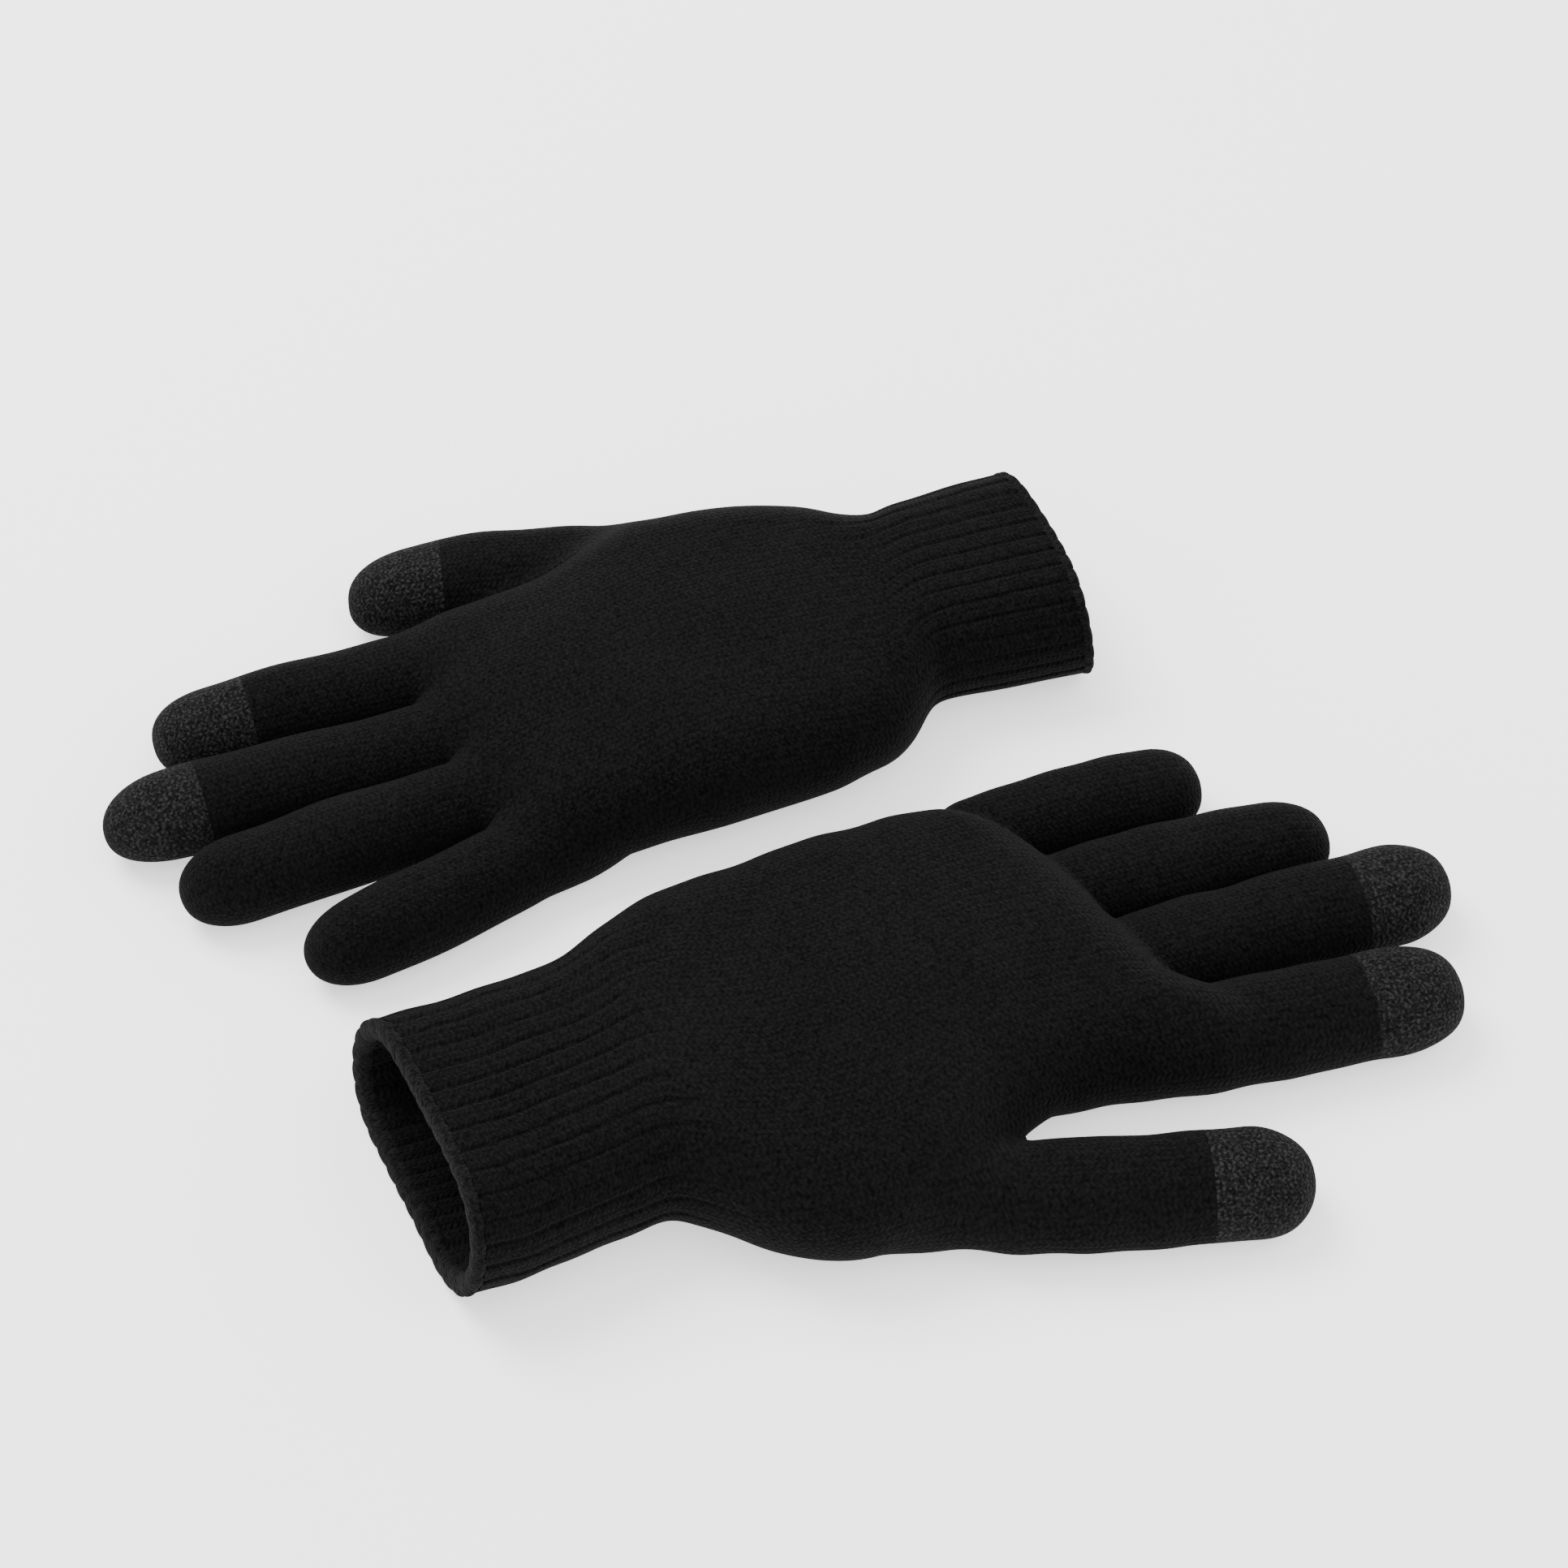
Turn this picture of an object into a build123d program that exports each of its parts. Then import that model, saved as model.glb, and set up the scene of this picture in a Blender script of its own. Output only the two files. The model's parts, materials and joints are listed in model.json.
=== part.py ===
"""A pair of knitted touchscreen gloves lying on a table, in millimetres.

The right glove lies palm up with its fingers along +X, and the left glove lies palm down with its fingers along -X.
Each glove is a ribbed cuff, a hand shell and five finger tubes. A finger tube folds at its root and half way along.
The thumb, index and middle fingers end in caps knitted from conductive yarn.
Every glove is built in its own frame, with its wrist over the origin, its fingers along +X and its thumb at -Y.
"""

import os
from dataclasses import dataclass
from math import cos, radians, sin

from build123d import *

# Driving dimensions shared by both gloves
WALL = 2.0  # thickness of the brushed knit
GAP = 0.5  # clearance at a fold, between two pieces that move apart
TOUCH_LENGTH = 20.0  # conductive cap, from the finger's end
FOLD_SHARE = 0.46  # place of a finger's second fold, as a share of its length
EDGE_ROUND = 0.42  # rounding of a finger tube, as a share of its thickness
HAND_ROUND = 0.46  # rounding of the hand and cuff sections, as a share of their thickness
ROOT_FOLD_MAX = {"right": 75.0, "left": 50.0}
TIP_FOLD_MAX = {"right": 80.0, "left": 50.0}
WRIST_FOLD_MAX = 40.0
HEM_LENGTH = 3.5  # overlocked edge at the cuff's mouth
HEM_EXTRA = 0.6  # how far the edge stands out of the cuff on each side
ELASTIC_RINGS = 6
ELASTIC_THREAD = 0.8
ELASTIC_START = 4.0  # from the cuff's mouth to the first ring
ELASTIC_MARGIN = 12.0  # length of cuff left without rings
ELASTIC_CLEAR = 0.3  # from the cuff's inside to a thread
UNDERSIDE_TRIM = 0.4  # cut off the hand's underside, so that it lies flat
NEIGHBOUR_REACH = 1.5  # how far a finger's room goes past half way to its neighbour
FAR = 80.0  # reach of the cutting tools past a piece


@dataclass
class Finger:
    """One finger tube: its root fold on the table plan, its turn from +X, its length, width and thickness."""

    name: str
    x: float
    y: float
    turn: float
    length: float
    width: float
    thick: float
    touch: bool

    @property
    def radius(self):
        return self.thick / 2

    @property
    def fold(self):
        """Distance from the root fold to the second fold."""
        return self.length * FOLD_SHARE

    @property
    def place(self):
        return Location((self.x, self.y, 0), (0, 0, self.turn))


@dataclass
class Section:
    """One cross-section of the hand: distance from the wrist, middle, width and thickness."""

    x: float
    y: float
    width: float
    thick: float


@dataclass
class Glove:
    """One glove's plan, and where its wrist stands on the table."""

    side: str
    x: float
    y: float
    turn: float
    cuff_length: float
    cuff: Section
    mouth: Section
    hand: list
    thumb_web: float  # how far back into the palm the thumb's root reaches
    fingers: list

    @property
    def place(self):
        return Location((self.x, self.y, 0), (0, 0, self.turn))


RIGHT = Glove(
    side="right",
    x=-38.8,
    y=-45.3,
    turn=0.0,
    cuff_length=45.0,
    cuff=Section(0, 0, 60, 29),
    mouth=Section(0, 0, 58, 30),
    hand=[
        Section(0, 0, 60, 29),
        Section(9, 2, 74, 29),
        Section(24, 4.5, 79, 29),
        Section(52, 8, 78, 28),
        Section(82, 10.5, 76, 24),
        Section(106, 11.5, 76, 17),
    ],
    thumb_web=46.0,
    fingers=[
        Finger("thumb", 63.5, -41.0, -13.0, 47.0, 21.0, 17.0, True),
        Finger("index", 101.0, -16.2, -3.5, 54.5, 20.0, 15.5, True),
        Finger("middle", 100.5, 5.1, -0.8, 61.5, 19.0, 15.5, True),
        Finger("ring", 95.5, 24.4, -0.5, 48.5, 17.5, 15.5, False),
        Finger("little", 87.5, 43.8, -1.0, 38.5, 16.5, 15.0, False),
    ],
)

LEFT = Glove(
    side="left",
    x=41.7,
    y=54.2,
    turn=180.0,
    cuff_length=35.0,
    cuff=Section(0, 0, 52, 27),
    mouth=Section(0, 0, 52, 28),
    hand=[
        Section(0, 0, 52, 27),
        Section(7, 2.5, 66, 27),
        Section(16, 2.5, 72, 27),
        Section(34, 2.5, 75, 26),
        Section(68, 6, 72, 23),
        Section(98, 8.5, 71, 17),
    ],
    thumb_web=42.0,
    fingers=[
        Finger("thumb", 60.0, -34.5, -11.0, 45.5, 19.0, 15.5, True),
        Finger("index", 94.5, -17.9, 1.0, 56.5, 17.3, 15.5, True),
        Finger("middle", 94.5, -0.1, 3.0, 70.5, 16.6, 15.5, True),
        Finger("ring", 94.0, 17.2, 7.3, 60.0, 16.2, 15.5, False),
        Finger("little", 90.0, 35.6, 16.0, 45.0, 16.5, 15.5, False),
    ],
)


def finger_blank(finger, inset, back):
    """A closed finger, lying along +X from the root fold. inset shrinks it on every side, and back carries it
    behind the root."""
    with BuildPart() as blank:
        with BuildSketch(Plane.XY.offset(inset)):
            with Locations(((finger.length - back) / 2, 0)):
                SlotOverall(finger.length + back - 2 * inset, finger.width - 2 * inset)
        extrude(amount=finger.thick - 2 * inset)
        ends = edges().group_by(Axis.Z)
        fillet(ends[0] + ends[-1], radius=EDGE_ROUND * finger.thick - inset)
    return blank.part


def finger_shell(finger):
    """The whole finger tube, open inside."""
    back = finger.radius + finger.width
    with BuildPart() as shell:
        add(finger_blank(finger, 0, back))
        add(finger_blank(finger, WALL, back), mode=Mode.SUBTRACT)
    return shell.part


def fold_room(radius, height, most, reach, low=-FAR, high=FAR):
    """What a fold at the origin needs clear behind it: a barrel of the child's thickness, everything ahead of the
    fold, and what the child sweeps as it turns up by most degrees. It spans low to high across."""
    clear = radius + GAP
    turned = radians(most)
    with BuildPart() as room:
        with BuildSketch(Plane.XZ.offset(-high)):
            with Locations((0, height)):
                Circle(clear)
            with Locations((reach / 2, 0)):
                Rectangle(reach, 2 * FAR)

            # The child's top face, turned all the way up, bounds the sweep
            Polygon(
                (GAP, height),
                (GAP, height + clear / cos(turned)),
                (0, height + clear / cos(turned)),
                (-clear * sin(turned), height + clear * cos(turned)),
                (0, height),
                align=None,
            )
        extrude(amount=high - low)
    return room.part


def fold_base(radius, height, reach):
    """What a child keeps at its own fold: a barrel round the fold line, and everything ahead of it."""
    with BuildPart() as keep:
        with BuildSketch(Plane.XZ.offset(-FAR)):
            with Locations((0, height)):
                Circle(radius)
            with Locations((reach / 2, 0)):
                Rectangle(reach, 2 * FAR)
        extrude(amount=2 * FAR)
    return keep.part


def slab(start, end):
    """Everything between two distances along +X."""
    with BuildPart() as block:
        with Locations(((start + end) / 2, 0, 0)):
            Box(end - start, 2 * FAR, 2 * FAR)
    return block.part


def finger_pieces(finger, side):
    """The finger's separate pieces in the glove's frame: root tube, outer tube and, where it has one, touch cap."""
    shell = finger_shell(finger)
    height = finger.radius
    at_fold = Location((finger.fold, 0, 0))
    cap_start = finger.length - TOUCH_LENGTH if finger.touch else finger.length + 1
    pieces = {}

    with BuildPart() as root_tube:
        add(shell)
        add(fold_base(finger.radius, height, FAR), mode=Mode.INTERSECT)
        room = fold_room(finger.radius, height, TIP_FOLD_MAX[side], FAR).moved(at_fold)
        add(room, mode=Mode.SUBTRACT)
    pieces[f"{finger.name}_root_tube"] = root_tube.part

    with BuildPart() as outer_tube:
        add(shell)
        keep = fold_base(finger.radius, height, FAR).moved(at_fold)
        add(keep, mode=Mode.INTERSECT)
        add(slab(-FAR, cap_start), mode=Mode.INTERSECT)
    pieces[f"{finger.name}_outer_tube"] = outer_tube.part

    if finger.touch:
        with BuildPart() as touch_cap:
            add(shell)
            add(slab(cap_start, FAR), mode=Mode.INTERSECT)
        pieces[f"{finger.name}_touch_cap"] = touch_cap.part

    return {name: piece.moved(finger.place) for name, piece in pieces.items()}


def loft_sections(sections, inset, dip):
    """A body through rounded sections that all stand on the table. dip lowers its underside, for trimming."""
    with BuildPart() as body:
        for section in sections:
            plane = Plane.YZ.offset(section.x)
            tall = section.thick + dip - 2 * inset
            with BuildSketch(plane):
                with Locations((section.y, (section.thick - dip) / 2)):
                    RectangleRounded(
                        section.width - 2 * inset,
                        tall,
                        HAND_ROUND * section.thick - inset,
                    )
        loft(ruled=True)
    return body.part


def hand_shell(glove):
    """The hand from the wrist to the finger roots, open at the wrist, the thumb and the four fingers."""
    thumb = glove.fingers[0]
    four = glove.fingers[1:]
    with BuildPart() as shell:
        add(loft_sections(glove.hand, 0, UNDERSIDE_TRIM))
        add(finger_blank(thumb, 0, glove.thumb_web).moved(thumb.place))
        add(loft_sections(glove.hand, WALL, UNDERSIDE_TRIM), mode=Mode.SUBTRACT)
        add(finger_blank(thumb, WALL, glove.thumb_web).moved(thumb.place), mode=Mode.SUBTRACT)

        # The underside is flat where it lies on the table
        with Locations((FAR, 0, -FAR / 2)):
            Box(4 * FAR, 4 * FAR, FAR, mode=Mode.SUBTRACT)

        # Room for the thumb, only as wide as its tube
        most = ROOT_FOLD_MAX[glove.side]
        half = thumb.width / 2 + GAP
        room = fold_room(thumb.radius, thumb.radius, most, thumb.length + FAR, -half, half)
        add(room.moved(thumb.place), mode=Mode.SUBTRACT)

        # Room for the four fingers, side by side, a little past half way to each neighbour
        for i, finger in enumerate(four):
            low = -finger.width / 2 - NEIGHBOUR_REACH
            high = FAR
            if i > 0:
                low = (four[i - 1].y - finger.y) / 2 - NEIGHBOUR_REACH
            if i < len(four) - 1:
                high = (four[i + 1].y - finger.y) / 2 + NEIGHBOUR_REACH
            room = fold_room(finger.radius, finger.radius, most, FAR, low, high)
            add(room.moved(finger.place), mode=Mode.SUBTRACT)

        # Room for the cuff
        wrist = fold_room(glove.cuff.thick / 2, glove.cuff.thick / 2, WRIST_FOLD_MAX, FAR)
        add(wrist.moved(Location((0, 0, 0), (0, 0, 180))), mode=Mode.SUBTRACT)
    with BuildPart() as largest:
        add(shell.solids().sort_by(SortBy.VOLUME)[-1])
    return largest.part


def cuff_sections(glove):
    """The cuff's sections, from just inside the hand to its mouth."""
    inside = Section(glove.cuff.thick, 0, glove.cuff.width, glove.cuff.thick)
    end = Section(-glove.cuff_length, 0, glove.mouth.width, glove.mouth.thick)
    return [inside, Section(0, 0, glove.cuff.width, glove.cuff.thick), end]


def cuff_tube(glove):
    """The ribbed cuff's tube, open at both ends."""
    sections = cuff_sections(glove)
    radius = glove.cuff.thick / 2
    with BuildPart() as tube:
        add(loft_sections(sections, 0, 0))
        add(loft_sections(sections, WALL, 0), mode=Mode.SUBTRACT)
        keep = fold_base(radius, radius, FAR).moved(Location((0, 0, 0), (0, 0, 180)))
        add(keep, mode=Mode.INTERSECT)
    return tube.part


def cuff_ring(width, thick, x, length, outset, inset):
    """A flat ring round the cuff at x. It reaches outset past the cuff on each side, and inset inward."""
    with BuildPart() as ring:
        with BuildSketch(Plane.YZ.offset(x)):
            with Locations((0, thick / 2)):
                RectangleRounded(width + 2 * outset, thick + 2 * min(outset, 0), HAND_ROUND * thick + min(outset, 0))
                RectangleRounded(
                    width - 2 * inset,
                    thick - 2 * inset,
                    HAND_ROUND * thick - inset,
                    mode=Mode.SUBTRACT,
                )
        extrude(amount=-length)
    return ring.part


def cuff_hem(glove):
    """The overlocked edge, a thicker ring at the mouth."""
    mouth = glove.mouth
    return cuff_ring(mouth.width, mouth.thick, -glove.cuff_length, HEM_LENGTH, HEM_EXTRA, WALL + HEM_EXTRA)


def cuff_elastic(glove):
    """Elastic threads laid in rings on the inside of the cuff, each following the cuff's width where it lies."""
    pitch = (glove.cuff_length - ELASTIC_MARGIN) / ELASTIC_RINGS
    clear = WALL + ELASTIC_CLEAR
    with BuildPart() as threads:
        for i in range(ELASTIC_RINGS):
            x = -glove.cuff_length + ELASTIC_START + i * pitch
            share = -x / glove.cuff_length
            width = glove.cuff.width + share * (glove.mouth.width - glove.cuff.width)
            thick = glove.cuff.thick + share * (glove.mouth.thick - glove.cuff.thick)
            add(cuff_ring(width, thick, x, ELASTIC_THREAD, -clear, clear + ELASTIC_THREAD))
    return threads.part


def write(glove, name, piece):
    """Stands one piece on the table and writes it as its own file."""
    with BuildPart() as placed:
        add(piece.moved(glove.place))
    placed.part.label = f"{glove.side}_{name}"
    export_step(placed.part, f"parts/{placed.part.label}.step")
    return placed.part


os.makedirs("parts", exist_ok=True)
written = []
for glove in (RIGHT, LEFT):
    written.append(write(glove, "hand_shell", hand_shell(glove)))
    written.append(write(glove, "cuff", cuff_tube(glove)))
    written.append(write(glove, "cuff_hem", cuff_hem(glove)))
    written.append(write(glove, "cuff_elastic", cuff_elastic(glove)))
    for finger in glove.fingers:
        for name, piece in finger_pieces(finger, glove.side).items():
            written.append(write(glove, name, piece))

pair = Compound(children=written).bounding_box()
print("pair from", pair.min, "to", pair.max)
for glove in (RIGHT, LEFT):
    for finger in glove.fingers:
        for share, label in ((0, "root"), (finger.fold, "outer")):
            line = glove.place * finger.place * Location((share, 0, finger.radius))
            print(glove.side, finger.name, label, "fold at", line.position, "turned", line.orientation.Z)
    line = glove.place * Location((0, 0, glove.cuff.thick / 2))
    print(glove.side, "wrist fold at", line.position)
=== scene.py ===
"""The looks of a pair of knitted touchscreen gloves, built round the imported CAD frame.

Each glove's skin is one field in the glove's own frame, in millimetres: x runs from the wrist along the
fingers, y across the hand with the thumb on the low side, and z up from the table. The field is negative
inside the glove. The hand is meshed from the field on a grid. The cuff and the fingers are rings of points,
found where rays from their middle reach the skin.
"""

import json
from math import ceil, cos, pi, radians, sin, sqrt

import bpy
import numpy as np
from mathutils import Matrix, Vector


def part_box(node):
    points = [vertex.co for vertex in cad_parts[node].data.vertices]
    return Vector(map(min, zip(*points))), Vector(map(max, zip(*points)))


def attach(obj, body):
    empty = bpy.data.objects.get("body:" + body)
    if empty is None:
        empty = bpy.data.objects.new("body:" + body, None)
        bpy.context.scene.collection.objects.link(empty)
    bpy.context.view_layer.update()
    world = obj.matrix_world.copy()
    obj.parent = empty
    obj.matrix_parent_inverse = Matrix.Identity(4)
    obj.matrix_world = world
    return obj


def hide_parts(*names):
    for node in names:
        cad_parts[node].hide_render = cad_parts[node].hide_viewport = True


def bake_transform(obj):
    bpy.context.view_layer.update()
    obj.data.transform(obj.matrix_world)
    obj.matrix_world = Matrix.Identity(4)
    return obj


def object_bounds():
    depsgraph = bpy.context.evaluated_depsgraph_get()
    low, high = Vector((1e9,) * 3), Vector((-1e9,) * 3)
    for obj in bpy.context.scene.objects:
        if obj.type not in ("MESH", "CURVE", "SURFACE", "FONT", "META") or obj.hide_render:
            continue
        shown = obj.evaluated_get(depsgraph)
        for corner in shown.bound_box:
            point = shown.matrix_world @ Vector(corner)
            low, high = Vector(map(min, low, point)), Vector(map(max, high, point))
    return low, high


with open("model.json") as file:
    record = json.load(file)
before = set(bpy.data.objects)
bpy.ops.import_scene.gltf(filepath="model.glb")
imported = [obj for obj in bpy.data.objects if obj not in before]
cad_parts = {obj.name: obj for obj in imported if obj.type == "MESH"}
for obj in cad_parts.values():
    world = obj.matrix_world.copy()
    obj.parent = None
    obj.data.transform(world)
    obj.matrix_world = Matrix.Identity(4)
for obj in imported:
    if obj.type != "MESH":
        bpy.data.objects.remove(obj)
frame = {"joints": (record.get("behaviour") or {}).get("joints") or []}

CAD_LOW, CAD_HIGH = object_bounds()
JOINTS = {joint["name"]: joint for joint in frame["joints"]}
MM = 0.001

# Meshing, in millimetres
GRID_STEP = 0.75
GRID_FAR = (118.0, 66.0, 34.0)  # the hand's grid ends here along, across and up
SETTLE_ROUNDS = 3  # rounds that move the grid's points onto the skin
SETTLE_STEP = 0.5
RING_STEP = 0.6
CUFF_STEP = 0.9
ROUND_COUNT = 104  # points round a finger
RIB_POINTS = 10  # points across one rib of the cuff
TIP_RINGS = 30
RIM_RINGS = 15
POLE_STEP = 0.02  # a finger's last ring is this far from its end
HALVINGS = 26  # rounds that close in on the skin along a ray
FINGER_REACH = 32.0  # longer than any ray from the middle of a finger
CUFF_REACH = 60.0  # longer than any ray from the middle of the cuff
TRACK_STEP = 0.5
TRACK_PAST = 40.0

# Shape shared by both gloves, in millimetres
CUFF_JOIN = 9.0  # the cuff's knit runs this far past the wrist fold into the hand
BLEND_BACK = 7.0  # a finger starts to turn this far behind its root fold
FOLD_SPREAD = 0.42  # FOLD_SPREAD = 0.42 # reach either side of a fold, as a share of the length between a finger's two folds
WRIST_SPREAD = 8.0
OVERLAP = 0.5  # neighbouring pieces share this much skin past the plane between them
SAG = 0.28  # size of the knit's slow unevenness
SAG_WAVES = 9
SAG_LENGTH = 42.0
SAG_UPRIGHT = 0.6  # the unevenness changes less from the table upwards
OUTSIDE = 0.001  # keeps a field above zero past the end of its shape

# The palm and the fingers
NOSE = 17.0  # length over which the palm rounds down to the fingers
NOSE_NARROWS = 0.3
NOSE_SOFTEN = 5.0
FINGER_SOFTEN = 3.0
FINGER_DOME = 0.14
TOUCH_LENGTH = 20.0
TIP_POWER = 2.3  # a tip is blunter than a circle, which has 2
TIP_LIFT = 0.42  # rise of a tip's end from the table, as a share of the finger's height
ROOT_ROUND = 10.0  # a finger's buried end closes over this length
OPEN_SIDE = 20.0  # the walls beside the index and little fingers stand this far out
THUMB_SEAM = 0.6  # place of the thumb's closed side, as a share of the reach of its join with the palm
STUB = 1.0  # the hand's own thumb stub runs this far into the thumb

# The cuff
CUFF_WALL = 4.0  # the cuff's doubled knit
CUFF_SIZE = 30.0  # height and half-width against which the mouth's lean is measured
RIB_HEIGHT = 0.52
RIB_GROOVE = 0.48  # width of the groove between ribs
RIB_PITCH = 4.6
RIB_ROUND = 0.7  # a rib is fuller than a sine wave, which has 1
RIB_FADE = 6.0  # the ribs start to fade this far behind the wrist fold
PLEAT_REACH = 9.0  # a rib's mean reach past the wrist fold
PLEAT_WAVES = ((4.0, 1.7, 0.0), (3.0, 0.63, 1.0))  # changes of that reach: size, turn from rib to rib, start
LINING_GROOVE = 0.45  # depth of the ribs on the cuff's inside
MOUTH_BACK = 2.6  # the rolled edge starts this far behind the cuff's end
RIM_ROLL = 2.5  # length of the rolled edge
RIM_SWELL = 0.9  # the rolled edge bulges this much past the wall
RIM_LIFT = 0.5
RIM_GROOVES = (0.35, 0.3)  # depth of the ribs on the rolled edge's outside and inside
RIM_UNEVEN = 0.1
RIM_STITCH = 2.4  # length of knit per radian of the roll
THREAD_DEPTH = 2.1
THREAD_ROUND = 0.35
THREAD_RINGS = 6
THREAD_SIDES = 6
THREAD_FIRST = 7.0  # from the cuff's end
THREAD_LAST = -12.0  # from the wrist fold

# The knit, in millimetres
WALE = 2.35
COURSE = 1.12
EDGE_STITCH = 1.6
KNIT_DEPTH = 0.35
FINGER_ROUND = 9.0  # the radius at which columns of knit are counted round a finger
HAND_START = 200.0  # where the count of columns starts on the hand
FINGER_START = 20.0

# The tones of the knits, dark between the loops as painted shade and light on them as painted light; the
# yarn's own random tone also moves between them
BODY_TONES_AND_SHADE = ((0.0012, 0.0012, 0.0012, 1), (0.0060, 0.0060, 0.0061, 1))
EDGE_TONES_AND_SHADE = ((0.002, 0.002, 0.0021, 1), (0.0095, 0.0095, 0.0098, 1))
TOUCH_TONES_AND_SHADE = ((0.0020, 0.0020, 0.0020, 1), (0.0080, 0.0080, 0.0082, 1))
FLECK_TONE = (0.030, 0.030, 0.0305, 1)
LINT_TONE = (0.03, 0.03, 0.03, 1)
THREAD_TONES = ((0.01, 0.01, 0.01, 1), (0.03, 0.03, 0.03, 1))

# The view, in metres and degrees
AZIMUTH, ELEVATION, DISTANCE = -18, 50, 0.735
AIM_SHIFT = (0.0102, 0.0292)  # from the middle of the pair
LENS, SENSOR = 83.5, 36.0
FLOOR_REACH = 4.0
FLOOR_GLOW = 0.9
SURROUND = 1.6
LIGHTS = (
    ("key_light", (-0.45, 0.75, 1.15), 0.9, 27.0),
    ("fill_light", (0.9, -0.6, 1.2), 1.4, 9.0),
)

# How each glove lies. A trunk row is: distance from the wrist, middle, half-width, height, dome.
# A nose row is: place across the palm, distance from the wrist at which the palm ends there.
# A finger row is: distance from the root fold as a share of the length, side shift, half-width, height.
# The lean of the cuff's mouth is: at its top, as a whole, from side to side, at both sides.
# Tips is the length of a fingertip's rounding over its half-width. Longer is added to the length of a finger.
# Joins are the reaches over which fingers flow into the palm. Soften is the one over which trunk rows blend.
RIGHT = {
    "side": "right",
    "ribs": 32,
    "lean": (6.5, -0.9, -4.2, -0.4),
    "tips": 1.2,
    "longer": {"thumb": 0.8, "index": -1.5, "middle": 0.4, "ring": 0.8},
    "seed": 3,
    "soften": 3.5,
    "trunk": [
        (-60, -0.2, 29.0, 30.0, 0.04),
        (-44, -0.2, 29.0, 30.0, 0.04),
        (-38, -0.4, 29.2, 29.7, 0.04),
        (-26, 1.2, 28.7, 29.3, 0.05),
        (-14, 2.9, 28.5, 28.8, 0.07),
        (-8, 4.5, 29.0, 28.6, 0.08),
        (-2, 6.6, 30.4, 28.5, 0.10),
        (4, 5.4, 35.2, 28.5, 0.11),
        (10, 4.4, 38.6, 28.5, 0.13),
        (16, 2.2, 41.3, 28.5, 0.14),
        (22, 1.0, 43.0, 28.5, 0.16),
        (28, 1.1, 44.4, 28.5, 0.17),
        (34, 1.7, 44.7, 28.5, 0.18),
        (46, 3.6, 44.2, 28.5, 0.19),
        (58, 9.6, 38.6, 27.8, 0.19),
        (66, 11.8, 36.2, 27.0, 0.20),
        (74, 12.3, 34.9, 26.0, 0.20),
        (82, 12.3, 33.6, 25.0, 0.20),
        (90, 12.3, 33.4, 24.0, 0.20),
        (98, 12.3, 35.0, 23.5, 0.20),
        (125, 12.0, 36.5, 22.0, 0.20),
    ],
    "nose": [(-40, 120), (-20, 119), (-8, 106), (4, 101), (24, 94), (44, 86), (60, 82)],
    "fingers": {
        "thumb": [
            (-0.8, 3, 6, 12),
            (-0.6, 2.5, 9.0, 18),
            (-0.3, 1.9, 10.4, 19),
            (-0.1, 0.8, 11.0, 18),
            (0.1, 0.3, 11.2, 18),
            (0.5, 0.6, 10.7, 17),
            (1, 1.0, 10.6, 17),
        ],
        "index": [
            (-0.6, 3, 6, 14),
            (-0.3, 2.4, 8.6, 18),
            (-0.05, 1.2, 9.6, 18.5),
            (0.2, 0.1, 10.8, 17.5),
            (0.5, 0.0, 10.9, 17),
            (1, 0.2, 10.3, 16),
        ],
        "middle": [(-0.4, 1, 8.5, 13), (0, 1, 10.0, 15), (0.5, 1.2, 10.4, 16.5), (1, 1.2, 10.1, 16)],
        "ring": [(-0.4, 1, 8, 13), (0, 1, 9.5, 15), (0.5, 0.8, 9.8, 16), (1, -0.8, 9.4, 15.5)],
        "little": [(-0.5, 1, 7.5, 13), (0, 1, 8.8, 14.5), (0.5, 1.2, 9.4, 15.5), (1, 0.6, 8.9, 15)],
    },
    "joins": {"thumb": 4.5, "index": 9, "middle": 3.5, "ring": 3.5, "little": 5},
}
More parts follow.
